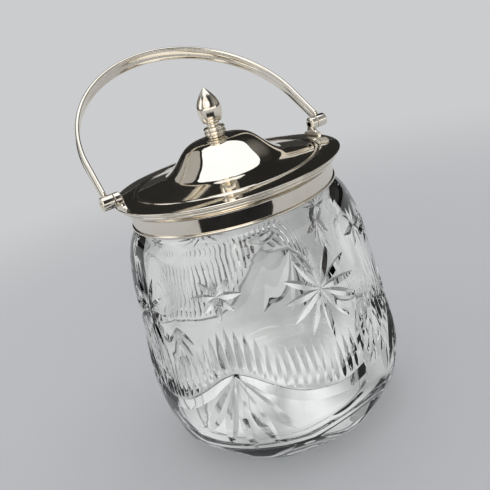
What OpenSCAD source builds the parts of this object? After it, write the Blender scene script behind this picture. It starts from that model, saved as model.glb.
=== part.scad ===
// Cut-glass biscuit jar with a plated collar, lift-off lid and swing bail.
// Millimetres, +Z up. The origin is the middle of the glass foot, on the table.
// X is the bail's pivot axis and -Y is the front face of the glass.

/* [Glass] */
// Height of the glass from the foot to the lip
glass_h = 141.5; // [120:0.5:170]
// Radius of the foot, before the heel's facets are cut
foot_r = 51.6; // [44:0.1:56]
// Radius at the heel, before its facets are cut
heel_r = 63.7; // [58:0.1:66]
// Height of the heel
heel_z = 12.2; // [8:0.1:18]
// Distance from the axis to the foot of a heel facet
heel_flat_r = 50.9; // [44:0.1:56]
// Largest radius, at the four rounded corners
belly_r = 69.6; // [64:0.2:80]
// Height of the largest radius
belly_z = 36; // [28:1:46]
// Radius at the waist, half way up
waist_r = 66; // [60:0.2:74]
// Height of the waist
waist_z = 76; // [66:1:86]
// Radius at the shoulder
shoulder_r = 63.3; // [58:0.2:70]
// Drop from the crown to the shoulder
shoulder_drop = 17.5; // [13:0.5:25]
// Radius of the crown, where the shoulder turns in to the neck
crown_r = 58.4; // [54:0.2:62]
// Drop from the start of the neck to the crown
crown_drop = 8; // [5:0.5:14]
// Outer radius of the neck
neck_r = 51.6; // [48:0.2:53]
// Height of the neck, from its start to the lip
neck_h = 12.5; // [10:0.5:15]
// Distance from the axis to the middle of each flattened side
face_r = 65.9; // [62:0.1:69]
// Radius of the flattened sides, seen from the side
face_curve_r = 450; // [250:10:900]
// Outward slope of the eight heel facets, width for height
heel_slope = 0.9; // [0.7:0.05:1.6]
// Thickness of the body's wall at the flattened sides
wall_t = 6.2; // [4:0.1:9]
// Thickness of the neck's wall
neck_wall_t = 5; // [3:0.1:6]
// Thickness of the base
floor_t = 13; // [8:0.5:20]
// Radius of the inside corner at the base
cavity_corner_r = 16; // [8:0.5:24]

/* [Cutting] */
// Angle between the two sides of a mitre cut
mitre_angle = 116; // [90:2:130]
// Drop from the crown to the middle of the large star, on each flattened side
star_drop = 30; // [27:0.5:36]
// Number of rays of the large star
star_rays = 12; // [8:2:16]
// Length of the large star's level rays
star_side_r = 22; // [16:0.5:24]
// Length of its ray that points up
star_top_r = 20; // [14:0.5:22]
// Length of its ray that points down
star_foot_r = 26; // [18:0.5:27]
// Depth of the large star in its middle
star_d = 1.7; // [0.8:0.1:2.4]
// Drop from the crown to the middle of the small star, on each corner
spark_drop = 18.2; // [15:0.2:24]
// Number of rays of the small star
spark_rays = 8; // [6:2:12]
// Length of the small star's rays
spark_ray_r = 12; // [8:0.5:13]
// Depth of the small star in its middle
spark_d = 1.3; // [0.6:0.1:2]
// Height of the swag line above the belly in the middle of each side
swag_low_h = 4.7; // [2:0.1:10]
// Height of the swag line above the belly at the corners
swag_high_h = 27.1; // [20:0.1:30]
// Depth of the swag line
swag_d = 0.95; // [0.5:0.05:1.4]
// Width of the swag's steep side, above its line
swag_above = 0.9; // [0.5:0.1:2]
// Width of the swag's gentle side, below its line
swag_below = 5; // [3:0.1:7]
// Number of vertical cuts in the fringe round the jar
fringe_cuts = 96; // [64:8:112]
// Gap between the swag line and the fringe
fringe_gap = 2.3; // [1.5:0.1:4]
// Height of the fringe's top above the waist at the corners
fringe_high_h = 12; // [6:0.5:14]
// Drop of the fringe's top below the waist in the middle of each side
fringe_low_drop = 11.2; // [6:0.2:14]
// Depth of a fringe cut at its foot
fringe_d = 1.25; // [0.6:0.05:1.6]
// Number of rays in the fan below each corner of the swag
fan_rays = 5; // [3:2:9]
// Length of a fan's middle ray
fan_mid_r = 44.5; // [30:0.5:46]
// Length of a fan's outer rays
fan_side_r = 39; // [24:0.5:41]
// Angle from a fan's middle ray to its outer rays
fan_spread = 33; // [20:1:45]
// Depth of a fan at its point
fan_d = 0.5; // [0.2:0.1:1]

/* [Collar] */
// Thickness of the plaster that beds the collar on the neck
plaster_t = 1.3; // [0.6:0.1:2.5]
// Thickness of the collar's band
band_t = 1; // [0.6:0.1:1.6]
// Height of the band's lower edge above the start of the neck
band_gap = 0.2; // [0:0.1:1]
// Radius of the bead wire round the band's lower edge
bead_r = 0.8; // [0.5:0.1:1.4]
// Height of the rim's top above the glass lip
rim_rise = 3.5; // [3:0.1:6]
// Outer radius of the rim
rim_r = 60; // [57.5:0.1:66]
// Thickness of the rim
rim_t = 1.5; // [1:0.1:2.5]
// Space between the glass lip and the rim
lip_gap = 1.2; // [0.4:0.1:1.8]
// Distance of the rim's inner edge outside the bore of the neck
mouth_step = 0.6; // [0.2:0.1:1.5]
// Depth of the seat that the lid drops into
seat_d = 1.1; // [0.6:0.1:1.3]
// Width of the seat
seat_w = 2.3; // [1.6:0.1:4]
// Number of steps in the moulding under the rim
mould_steps = 3; // [2:1:5]
// Height of each step
mould_step_h = 1.2; // [0.8:0.1:1.6]
// Distance of the widest step inside the rim
mould_inset = 1.4; // [0.6:0.1:2]
// Height of the hollow below the steps
mould_cove_h = 2.4; // [1.5:0.1:3.5]
// Thickness of the moulding at the foot of the hollow
mould_foot_t = 0.5; // [0.3:0.1:0.8]

/* [Hinges] */
// Height of the pivot above the rim
pivot_h = 5.5; // [5:0.1:9]
// Radius of the barrels
barrel_r = 3.5; // [3.2:0.1:4.5]
// Distance from the rim's edge to a lug's inner face
lug_inset = 2.4; // [1.6:0.1:4]
// Width of a lug's barrel
lug_w = 4; // [3:0.1:6]
// Thickness of the post under a lug's barrel
lug_post_t = 2; // [1.4:0.1:3]
// Half width of the post
lug_post_w = 2.4; // [1.8:0.1:3]
// Radius of the flares from the post to its foot
lug_flare_r = 4; // [2:0.1:4.4]
// Thickness of the foot's edge
lug_foot_t = 0.6; // [0.4:0.1:1]
// Space between a lug and its knuckle
knuckle_gap = 0.3; // [0.2:0.05:0.6]
// Width of a knuckle
knuckle_w = 6.1; // [5:0.1:9]
// Size of the bevel round a knuckle's outer end
knuckle_bevel = 0.6; // [0.2:0.1:1]
// Radius of the hinge pins
pin_r = 1.5; // [1:0.1:2]
// Running clearance of a knuckle on its pin
pin_clear = 0.05; // [0.02:0.01:0.1]
// Depth of a pin's end below the knuckle's outer face
pin_inset = 0.6; // [0.2:0.1:1.2]

/* [Bail] */
// Height of the arch above the pivots, to the middle of the strip
arch_h = 84.1; // [76:0.1:110]
// Distance that each leg spreads out below the arch
leg_splay = 1.4; // [0:0.1:3]
// Thickness of the strip between its reeds
strip_t = 1.5; // [1:0.1:2]
// Width of the strip at the top of the arch
strip_top_w = 8.6; // [7:0.1:14]
// Width of the strip at the knuckles
strip_foot_w = 6.2; // [5:0.1:6.4]
// Height of the middle of the strip's round end above the barrel
strip_end_rise = 1.4; // [0.5:0.1:2]
// Width of the raised reeds along the strip's edges
reed_w = 1.6; // [0.8:0.1:2]
// Height of the reeds above each side of the strip
reed_h = 0.35; // [0.2:0.05:0.8]
// Angle that the bail leans back when at rest
bail_lean = 48.8; // [0:0.1:75]

/* [Lid] */
// Height of the dome above the rim
dome_h = 17; // [12:0.5:24]
// Radius of the dome half way up
dome_r = 24.3; // [20:0.1:28]
// Steepness of the dome's side
dome_steep = 5.8; // [4:0.1:8]
// Thickness of the lid
lid_t = 1.1; // [0.8:0.1:1.6]
// Width of the lid's flat edge
lid_edge_w = 5.8; // [4:0.1:9]
// Height of the lid's edge above the rim
lid_stand = 0.2; // [0:0.1:1]
// Distance of the edge wire's inner side inside the opening
wire_lap = 0.3; // [0.1:0.1:0.8]
// Clearance of the lid in its seat
seat_clear = 0.25; // [0.1:0.05:0.6]
// Clearance of the skirt inside the neck
skirt_clear = 0.6; // [0.3:0.1:1.5]
// Thickness of the skirt
skirt_t = 0.8; // [0.5:0.1:1.2]
// Depth of the skirt below the rim
skirt_d = 8; // [6:0.5:14]

/* [Finial] */
// Radius of the finial's foot
foot_ring_r = 4.3; // [3.4:0.1:6]
// Height of the finial's foot
foot_ring_h = 1.5; // [1:0.1:2.5]
// Radius of the finial's double ring
knop_r = 5.7; // [5:0.1:7.5]
// Height of the double ring
knop_h = 4; // [3:0.1:6]
// Radius of the finial's waist
finial_waist_r = 3.2; // [2.8:0.1:4]
// Height of the waist
finial_waist_h = 2.4; // [1.5:0.1:4]
// Radius of the bud's base
bud_foot_r = 4.2; // [3.4:0.1:5]
// Largest radius of the bud
bud_r = 6.2; // [5.2:0.1:8]
// Height of the bud
bud_h = 17.7; // [14:0.1:24]
// Height of the bud's largest radius above its base
bud_wide_h = 6.4; // [4:0.1:9]
// Radius of the stud that holds the finial
stud_r = 2; // [1.5:0.1:2.4]
// Clearance of the stud in its holes
stud_clear = 0.05; // [0.02:0.01:0.2]
// Depth of the stud inside the bud
stud_grip = 6; // [4:0.5:8]
// Radius of the washer under the dome
washer_r = 5; // [4:0.1:7]
// Thickness of the washer
washer_t = 0.8; // [0.5:0.1:1.2]
// Radius of the nut across its corners
nut_r = 4; // [3.4:0.1:4.6]
// Height of the nut
nut_h = 2.4; // [1.6:0.1:3.2]
// Length of stud that shows below the nut
stud_tail = 0.8; // [0.2:0.1:2]

/* [Hidden] */

$fn = 96;
// Overshoot of a cut past the face that it opens
over = 1;
// Side of the blocks that cut the glass flat
block = 4 * belly_r;
facets = 8;
// Points along each stretch of a smooth curve, and along the dome and the bud
span_steps = 5;
dome_steps = 24;
bud_steps = 12;
// Share of a hanging line's fall that is left at angles from a corner, to past the middle of a side
fall = [[0, 1], [15, 0.59], [30, 0.19], [45, 0], [60, 0.19]];
// Straight stretches of the swag from a corner to the middle of a side
swag_steps = 5;
// Length by which a groove runs on behind the start of its valley
groove_lap = 0.3;
// Height of a mitre cut's section, which clears the belly's bulge over a straight valley
mitre_h = wall_t + belly_r - heel_r;

silver = [0.83, 0.80, 0.74];
glass_tint = [0.86, 0.90, 0.88, 0.45];
plaster_white = [0.90, 0.88, 0.82];
nickel = [0.70, 0.68, 0.62];

neck_z = glass_h - neck_h;
crown_z = neck_z - crown_drop;
shoulder_z = crown_z - shoulder_drop;
star_z = crown_z - star_drop;
spark_z = crown_z - spark_drop;
swag_low_z = belly_z + swag_low_h;
swag_high_z = belly_z + swag_high_h;
fringe_low_z = waist_z - fringe_low_drop;
fringe_high_z = waist_z + fringe_high_h;
neck_in_r = neck_r - neck_wall_t;
rim_z = glass_h + rim_rise;
band_in_r = neck_r + plaster_t;
band_r = band_in_r + band_t;
band_z = neck_z + band_gap;
rim_under_z = glass_h + lip_gap;
mouth_r = neck_in_r + mouth_step;
seat_r = mouth_r + seat_w;
seat_z = rim_z - seat_d;
mould_z = rim_z - rim_t;
mould_r = rim_r - mould_inset;

pivot_z = rim_z + pivot_h;
lug_x = rim_r - lug_inset;
knuckle_x = lug_x + lug_w + knuckle_gap;
leg_x = knuckle_x + knuckle_w / 2;
arch_r = leg_x - leg_splay;
arch_z = arch_h - arch_r;

lid_r = seat_r - seat_clear;
lid_flat_r = lid_r - lid_edge_w;
lid_top_z = rim_z + lid_stand;
wire_in_r = mouth_r - wire_lap;
skirt_r = neck_in_r - skirt_clear;
dome_z = rim_z + dome_h;

knop_z = dome_z + foot_ring_h;
finial_waist_z = knop_z + knop_h;
bud_z = finial_waist_z + finial_waist_h;
bore_r = stud_r + stud_clear;
washer_z = dome_z - lid_t - washer_t;
nut_z = washer_z - nut_h;
stud_z = nut_z - stud_tail;

// Catmull-Rom point between b and c
function between(a, b, c, d, t) = 0.5 * (2 * b + (c - a) * t
    + (2 * a - 5 * b + 4 * c - d) * t * t + (3 * b - a - 3 * c + d) * t * t * t);
// Smooth curve through a list of stations, as points
function curve(s) = [
    for (i = [0 : len(s) - 2], k = [0 : span_steps - 1])
        between(s[max(i - 1, 0)], s[i], s[i + 1], s[min(i + 2, len(s) - 1)], k / span_steps),
    s[len(s) - 1]];
function reversed(s) = [for (i = [len(s) - 1 : -1 : 0]) s[i]];
// Points of an arc, with its own radius along each axis
function arc(c, r, a0, a1, n) = [
    for (i = [0 : n], a = a0 + (a1 - a0) * i / n) c + [r.x * cos(a), r.y * sin(a)]];
// Distance from the axis to a flattened side at height z
function face_at(z) = face_r - face_curve_r + sqrt(pow(face_curve_r, 2) - pow(z - belly_z, 2));
// Inside radius that leaves the wall at a station of the outside
function inside(s) = [min(s.x, face_at(s.y)) - wall_t, s.y];

outside = [[foot_r, 0], [heel_r, heel_z], [belly_r, belly_z], [waist_r, waist_z],
           [shoulder_r, shoulder_z], [crown_r, crown_z], [neck_r, neck_z]];

module glass_outside() {
    intersection() {
        rotate_extrude() polygon(concat([[0, 0]], curve(outside), [[neck_r, glass_h], [0, glass_h]]));
        rotate([90, 0, 0]) face_pair();
        rotate([90, 0, 90]) face_pair();
    }
}

// Long bar whose two curved sides are a pair of opposite faces of the jar
module face_pair() {
    linear_extrude(block, center = true) intersection() {
        translate([face_r - face_curve_r, belly_z]) circle(face_curve_r, $fn = 360);
        translate([face_curve_r - face_r, belly_z]) circle(face_curve_r, $fn = 360);
        translate([-block / 2, -over]) square([block, glass_h + 2 * over]);
    }
}

// Block that cuts one heel facet
module heel_cut() {
    translate([heel_flat_r, 0, 0]) rotate([0, atan(heel_slope), 0])
        translate([0, -block / 2, -block / 2]) cube(block);
}

module cavity() {
    wide = inside(outside[2]);
    corner_r = min(cavity_corner_r, wide.y - floor_t);
    corner = [wide.x - corner_r, floor_t + corner_r];
    rotate_extrude() polygon(concat(
        [[0, floor_t]],
        arc(corner, [corner_r, corner_r], -90, 0, 6),
        curve([wide + [0, over], inside(outside[3]), inside(outside[4]), inside(outside[5]),
               [neck_in_r, neck_z]]),
        [[neck_in_r, glass_h + over], [0, glass_h + over]]));
}

side_line = [for (p = curve(outside)) [p.y, p.x]];
// Distance from the axis to the uncut outside at azimuth a and height z, y to the side of that line
function reach(a, y, z) = min(concat([sqrt(pow(lookup(z, side_line), 2) - y * y)],
    [for (k = [-1 : 1], b = [a + 90 * k]) if (cos(b) > 0.1) (face_at(z) + y * sin(b)) / cos(b)]));
// Height at azimuth a of a line that hangs from high at the corners to low on the sides
function hanging(a, high, low) = low + (high - low) * lookup(abs((a + 360) % 90 - 45), curve(fall));
// Point of the swag's valley at azimuth b, as seen with azimuth a in front
function valley(b, a) = let(z = hanging(b, swag_high_z, swag_low_z), r = reach(b, 0, z) - swag_d)
    [r * cos(b - a), r * sin(b - a), z];

// Groove with a straight valley from p to q and on past it, as seen with azimuth a in front
module groove(a, p, q, past, side) {
    run = norm([q.y - p.y, q.z - p.z]);
    rotate([0, 0, a]) translate(p) rotate([atan2(q.z - p.z, q.y - p.y), 0, 0])
        rotate([-90, 0, -atan2(q.x - p.x, run)]) translate([0, 0, -groove_lap])
            linear_extrude(norm(q - p) + groove_lap + past) polygon(side);
}

// Mitre cut at azimuth a and height z: d deep where it starts, and length l at angle t from level
module mitre(a, z, t, l, d) {
    tip = [l * cos(t), z + l * sin(t)];
    w = mitre_h * tan(mitre_angle / 2);
    groove(a, [reach(a, 0, z) - d, 0, z], [reach(a, tip.x, tip.y), tip.x, tip.y], over,
        [[0, 0], [mitre_h, w], [mitre_h, -w]]);
}

// Large star on the side at azimuth 0
module star() {
    for (i = [0 : star_rays - 1], t = 360 / star_rays * i, up = sin(t) > 0 ? star_top_r : star_foot_r)
        mitre(0, star_z, t, star_side_r + (up - star_side_r) * pow(sin(t), 2), star_d);
}

// Small star on the corner at azimuth 45
module spark() {
    for (i = [0 : spark_rays - 1]) mitre(45, spark_z, 360 / spark_rays * i, spark_ray_r, spark_d);
}

// Fan that hangs from the swag's corner at azimuth 45
module fan() {
    for (i = [0 : fan_rays - 1], t = 2 * i / (fan_rays - 1) - 1)
        mitre(45, swag_high_z, fan_spread * t - 90, fan_mid_r + (fan_side_r - fan_mid_r) * t * t, fan_d);
}

// Upright cuts of the fringe from azimuth 0 to 90
module fringe() {
    for (i = [0 : fringe_cuts / 4 - 1], a = 360 / fringe_cuts * i,
         foot = hanging(a, swag_high_z, swag_low_z) + fringe_gap)
        mitre(a, foot, 90, hanging(a, fringe_high_z, fringe_low_z) - foot, fringe_d);
}

// Swag from azimuth 0 to 90: a groove steep above its line and gentle below
module swag() {
    step = 45 / swag_steps;
    out = wall_t / 2;
    for (i = [0 : 2 * swag_steps - 1], a = (i + 0.5) * step, z = hanging(a, swag_high_z, swag_low_z),
         rise = swag_d + reach(a, 0, z - swag_below) - reach(a, 0, z))
        groove(a, valley(i * step, a), valley((i + 1) * step, a), 0,
            [[0, 0], [out, out * swag_below / rise], [out, -out * swag_above / swag_d]]);
}

module glass_body() {
    color(glass_tint) difference() {
        glass_outside();
        for (i = [0 : facets - 1]) rotate([0, 0, 360 / facets * (i + 0.5)]) heel_cut();
        for (i = [0 : 3]) rotate([0, 0, 90 * i]) {
            star();
            spark();
            fan();
            fringe();
            swag();
        }
        cavity();
    }
}

// Ring with a square section
module ring(r_in, r_out, z0, z1) {
    rotate_extrude() translate([r_in, z0]) square([r_out - r_in, z1 - z0]);
}

module plaster_bedding() {
    color(plaster_white) ring(neck_r, band_in_r, band_z, rim_under_z);
}

module collar_band() {
    color(silver) ring(band_in_r, band_r, band_z, rim_under_z);
}

module collar_bead() {
    color(silver) rotate_extrude() difference() {
        translate([band_r, band_z + bead_r]) circle(bead_r, $fn = 32);
        translate([band_r - 2 * bead_r, band_z - over]) square([2 * bead_r, 2 * (bead_r + over)]);
    }
}

// Stepped moulding with a hollow below it, soldered round the band
module collar_moulding() {
    foot = [band_r + mould_foot_t, mould_z - mould_steps * mould_step_h - mould_cove_h];
    step_w = (mould_r - foot.x) / (mould_steps + 1);
    steps = [for (i = [0 : mould_steps - 1], k = [0, 1])
        [mould_r - step_w * i, mould_z - mould_step_h * (i + k)]];
    cove = arc(foot + [step_w, 0], [step_w, mould_cove_h], 90, 180, 6);
    color(silver) rotate_extrude()
        polygon(concat([[band_r, mould_z]], steps, cove, [[band_r, foot.y]]));
}

module collar_rim() {
    edge = rim_t / 2;
    color(silver) rotate_extrude() polygon(concat(
        [[mouth_r, rim_under_z], [band_r, rim_under_z], [band_r, mould_z]],
        arc([rim_r - edge, rim_z - edge], [edge, edge], -90, 90, 8),
        [[seat_r, rim_z], [seat_r, seat_z], [mouth_r, seat_z]]));
}

// Post of a lug with a flare on each side, seen along X
module lug_outline() {
    foot_w = lug_post_w + lug_flare_r;
    translate([-foot_w, 0]) square([2 * foot_w, lug_foot_t]);
    translate([-lug_post_w, 0]) square([2 * lug_post_w, pivot_h]);
    for (side = [0, 1]) mirror([side, 0]) translate([lug_post_w, lug_foot_t]) difference() {
        square(lug_flare_r);
        translate([lug_flare_r, lug_flare_r]) circle(lug_flare_r);
    }
}

// Lug on the +X side, with its barrel bored for the pin
module hinge_lug() {
    color(silver) difference() {
        union() {
            translate([lug_x, 0, rim_z]) rotate([90, 0, 90]) linear_extrude(lug_post_t) lug_outline();
            translate([lug_x, 0, pivot_z]) rotate([0, 90, 0]) cylinder(h = lug_w, r = barrel_r);
        }
        translate([lug_x - over, 0, pivot_z]) rotate([0, 90, 0])
            cylinder(h = lug_w + 2 * over, r = pin_r);
    }
}

module hinge_pin() {
    pin_l = lug_w + knuckle_gap + knuckle_w - pin_inset;
    color(nickel) translate([lug_x, 0, pivot_z]) rotate([0, 90, 0]) cylinder(h = pin_l, r = pin_r);
}

module hinge_lug_right() { hinge_lug(); }
module hinge_lug_left() { mirror([1, 0, 0]) hinge_lug(); }
module hinge_pin_right() { hinge_pin(); }
module hinge_pin_left() { mirror([1, 0, 0]) hinge_pin(); }

// Places the upright bail on the pivots, leaning back
module leaning() {
    translate([0, 0, pivot_z]) rotate([-bail_lean, 0, 0]) children();
}

// Outline of the arch and its legs, grown by g from the strip's middle
module arch_outline(g) {
    reach = norm([leg_x, arch_z]);
    turn = acos(arch_r / reach) - atan(arch_z / leg_x);
    side = [cos(turn), sin(turn)];
    foot = [leg_x, 0] + g * side + over * [side.y, -side.x];
    shoulder = [0, arch_z] + (arch_r + g) * side;
    translate([0, arch_z]) circle(arch_r + g, $fn = 180);
    polygon([foot, shoulder, [-shoulder.x, shoulder.y], [-foot.x, foot.y]]);
}

// Flat arch of thickness t above the pivot line
module arch_band(t) {
    rotate([90, 0, 0]) linear_extrude(2 * strip_top_w, center = true) difference() {
        arch_outline(t / 2);
        arch_outline(-t / 2);
        translate([-2 * leg_x, -4 * arch_h]) square([4 * leg_x, 4 * arch_h]);
    }
}

// Side view of the strip: round ends, widest at the top of the arch
module strip_side(inset) {
    end_z = barrel_r + strip_end_rise;
    foot = strip_foot_w / 2 - inset;
    top = strip_top_w / 2 - inset;
    translate([0, end_z]) circle(foot);
    polygon([[-foot, end_z], [foot, end_z], [top, arch_h], [top, 2 * arch_h],
             [-top, 2 * arch_h], [-top, arch_h]]);
}

// Arch of thickness t with the side view that is given
module arch_strip(t) {
    intersection() {
        arch_band(t);
        rotate([90, 0, 90]) linear_extrude(4 * leg_x, center = true) children();
    }
}

module bail_handle() {
    color(silver) leaning() difference() {
        union() {
            arch_strip(strip_t) strip_side(0);
            arch_strip(strip_t + 2 * reed_h) difference() {
                strip_side(0);
                strip_side(reed_w);
            }
        }
        rotate([0, 90, 0]) cylinder(h = 4 * leg_x, r = barrel_r, center = true);
    }
}

// Knuckle on the +X side, bored for the pin and bevelled outside
module bail_knuckle() {
    bore = pin_r + pin_clear;
    color(silver) translate([knuckle_x, 0, pivot_z]) rotate([0, 90, 0]) rotate_extrude()
        polygon([[bore, 0], [barrel_r, 0], [barrel_r, knuckle_w - knuckle_bevel],
                 [barrel_r - knuckle_bevel, knuckle_w], [bore, knuckle_w]]);
}

module bail_knuckle_right() { bail_knuckle(); }
module bail_knuckle_left() { mirror([1, 0, 0]) bail_knuckle(); }

// Share of the dome's height that is left at radius r, before its ends are trimmed
function swell(r) = 1 / (1 + pow(r / dome_r, dome_steep));
// Height of the dome above the lid's flat edge at radius r
function dome_at(r) = (dome_h - lid_stand)
    * (swell(r) - swell(lid_flat_r)) / (swell(foot_ring_r) - swell(lid_flat_r));

module lid_dome() {
    side = [for (i = [0 : dome_steps], r = foot_ring_r + (lid_flat_r - foot_ring_r) * i / dome_steps)
        [r, dome_at(r)]];
    top = concat([[bore_r, dome_h - lid_stand]], side, [[wire_in_r, 0]]);
    color(silver) translate([0, 0, lid_top_z]) rotate_extrude()
        polygon(concat(top, [for (p = reversed(top)) p - [0, lid_t]]));
}

module lid_wire() {
    color(silver) ring(wire_in_r, lid_r, seat_z, lid_top_z);
}

module lid_skirt() {
    color(silver) ring(skirt_r - skirt_t, skirt_r, rim_z - skirt_d, lid_top_z - lid_t);
}

// Disc with a round edge
module round_disc(r, h) {
    square([r - h / 2, h]);
    translate([r - h / 2, h / 2]) circle(h / 2, $fn = 24);
}

// Foot, double ring and waist of the finial, turned in one piece
module finial_knop() {
    hollow = bud_foot_r - finial_waist_r;
    waist = arc([bud_foot_r, finial_waist_h / 2], [hollow, finial_waist_h / 2], -90, -270, 12);
    color(silver) rotate_extrude() difference() {
        union() {
            translate([0, dome_z]) round_disc(foot_ring_r, foot_ring_h);
            for (k = [0, 1]) translate([0, knop_z + k * knop_h / 2]) round_disc(knop_r, knop_h / 2);
            translate([0, finial_waist_z])
                polygon(concat([[0, 0]], waist, [[0, finial_waist_h]]));
        }
        translate([-knop_r, dome_z - over]) square([knop_r + bore_r, bud_z - dome_z + 2 * over]);
    }
}

module finial_bud() {
    hollow = stud_grip + stud_clear;
    side = arc([bud_foot_r, bud_wide_h], [bud_r - bud_foot_r, bud_wide_h], -90, 0, 6);
    tip = [for (i = [1 : bud_steps - 1], t = i / bud_steps)
        [bud_r * cos(90 * t), bud_wide_h + (bud_h - bud_wide_h) * t]];
    color(silver) translate([0, 0, bud_z]) rotate_extrude() polygon(concat(
        [[0, hollow], [bore_r, hollow], [bore_r, 0]], side, tip, [[0, bud_h]]));
}

module finial_stud() {
    color(nickel) translate([0, 0, stud_z]) cylinder(h = bud_z + stud_grip - stud_z, r = stud_r);
}

module finial_washer() {
    color(nickel) ring(bore_r, washer_r, washer_z, washer_z + washer_t);
}

module finial_nut() {
    color(nickel) translate([0, 0, nut_z]) difference() {
        cylinder(h = nut_h, r = nut_r, $fn = 6);
        translate([0, 0, -over]) cylinder(h = nut_h + 2 * over, r = bore_r, $fn = 48);
    }
}

glass_body();
plaster_bedding();
collar_band();
collar_bead();
collar_moulding();
collar_rim();
hinge_lug_left();
hinge_lug_right();
hinge_pin_left();
hinge_pin_right();
bail_handle();
bail_knuckle_left();
bail_knuckle_right();
lid_dome();
lid_wire();
lid_skirt();
finial_knop();
finial_bud();
finial_stud();
finial_washer();
finial_nut();
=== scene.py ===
"""Biscuit jar: cut glass, plated collar and lid, and a swing bail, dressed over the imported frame.

The jar's sizes are in millimetres here and turn into metres where a mesh is made. The studio's are in metres.
"""
import math

import bpy
import numpy as np
from mathutils import Matrix, Vector, kdtree
from mathutils.geometry import delaunay_2d_cdt


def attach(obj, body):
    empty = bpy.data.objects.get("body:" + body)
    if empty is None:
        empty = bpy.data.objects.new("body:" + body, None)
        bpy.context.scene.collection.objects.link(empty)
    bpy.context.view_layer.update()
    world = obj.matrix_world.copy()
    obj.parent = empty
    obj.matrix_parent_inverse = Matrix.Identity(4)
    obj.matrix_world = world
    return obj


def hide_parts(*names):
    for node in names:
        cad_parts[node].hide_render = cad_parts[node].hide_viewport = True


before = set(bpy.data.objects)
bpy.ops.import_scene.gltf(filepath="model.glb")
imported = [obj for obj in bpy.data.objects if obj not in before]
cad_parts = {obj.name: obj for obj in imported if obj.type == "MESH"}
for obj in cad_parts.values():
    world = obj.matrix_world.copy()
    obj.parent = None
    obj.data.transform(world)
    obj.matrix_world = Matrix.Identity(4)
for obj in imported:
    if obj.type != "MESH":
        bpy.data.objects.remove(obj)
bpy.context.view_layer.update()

MM = 0.001
RIM_R, RIM_Z = 60.0, 145.0      # the rim's outer edge, and its top beside the lid
PIVOT_Z = 150.5                 # height of the hinge pins
LEAN = math.radians(48.8)       # the bail's lean back from upright at rest


def link_object(name, data):
    obj = bpy.data.objects.new(name, data)
    bpy.context.scene.collection.objects.link(obj)
    return obj


# ---------------------------------------------------------------- camera

SENSOR = 36
FOCAL_PX, PHOTO_PX = 620, 490   # focal length and width of the photo, in pixels
FIT_RIM_R = 65.0                # the rim's radius in the fit that gave the camera's place


def make_camera():
    """The photo's view: from the front left, a little above, rolled to the left."""
    roll, tilt, turn = (math.radians(a) for a in (-15.303, 20.376, 26.714))
    right = Vector((math.cos(turn), -math.sin(turn), 0))
    back = Vector((-math.cos(tilt) * math.sin(turn), -math.cos(tilt) * math.cos(turn), math.sin(tilt)))
    up = back.cross(right)
    x = math.cos(roll) * right + math.sin(roll) * up
    y = -math.sin(roll) * right + math.cos(roll) * up
    cam = link_object("camera", bpy.data.cameras.new("camera"))
    cam.data.sensor_width = SENSOR
    cam.data.lens = FOCAL_PX / PHOTO_PX * SENSOR
    cam.data.clip_start = 0.01
    cam.data.clip_end = 100
    place = 11.193 * x - 43.227 * y + 348.806 * back
    cam.matrix_world = Matrix.Translation((place * (RIM_R / FIT_RIM_R) + Vector((0, 0, RIM_Z))) * MM) \
        @ Matrix((x, y, back)).transposed().to_4x4()
    bpy.context.scene.camera = cam


# ---------------------------------------------------------------- mesh helpers

def add_object(name, verts, faces, smooth_angle=30):
    """A mesh object from points in millimetres, smooth where its faces meet at less than the angle."""
    mesh = bpy.data.meshes.new(name)
    mesh.from_pydata([tuple(v) for v in np.asarray(verts, float) * MM], [], faces)
    mesh.validate()
    mesh.shade_smooth()
    if smooth_angle is not None:
        mesh.set_sharp_from_angle(angle=math.radians(smooth_angle))
    return link_object(name, mesh)


def dress(obj, body, material, node):
    """Hangs a piece on its body and material and hides the node it stands for."""
    obj.data.materials.append(material)
    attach(obj, body)
    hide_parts(node)


def spline(stations, steps):
    """Catmull-Rom curve through the stations."""
    s = np.asarray(stations, float)
    out = []
    for i in range(len(s) - 1):
        a, b, c, d = s[max(i - 1, 0)], s[i], s[i + 1], s[min(i + 2, len(s) - 1)]
        for k in range(steps):
            t = k / steps
            out.append(0.5 * (2 * b + (c - a) * t + (2 * a - 5 * b + 4 * c - d) * t * t
                              + (3 * b - a - 3 * c + d) * t ** 3))
    out.append(s[-1])
    return np.array(out)


def arc(x, y, wide, high, start, end, count):
    """Points on an oval round (x, y), from one angle to another in degrees."""
    return [(x + wide * math.cos(a), y + high * math.sin(a))
            for a in np.radians(np.linspace(start, end, count))]


def rounded(corners, steps):
    """Closed outline whose corners (x, y, radius) are rounded."""
    pts, n = [], len(corners)
    for i, (x, y, r) in enumerate(corners):
        p = np.array((x, y), float)
        a = np.array(corners[i - 1][:2], float) - p
        b = np.array(corners[(i + 1) % n][:2], float) - p
        if r <= 0:
            pts.append(p)
            continue
        la, lb = np.linalg.norm(a), np.linalg.norm(b)
        a, b = a / la, b / lb
        half = math.acos(np.clip(a @ b, -1, 1)) / 2
        cut = min(r / math.tan(half), 0.49 * la, 0.49 * lb)
        r = cut * math.tan(half)
        centre = p + (a + b) / np.linalg.norm(a + b) * r / math.sin(half)
        start, end = p + a * cut - centre, p + b * cut - centre
        a0 = math.atan2(start[1], start[0])
        sweep = (math.atan2(end[1], end[0]) - a0 + math.pi) % (2 * math.pi) - math.pi
        for k in range(steps + 1):
            t = a0 + sweep * k / steps
            pts.append(centre + r * np.array((math.cos(t), math.sin(t))))
    return pts


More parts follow.
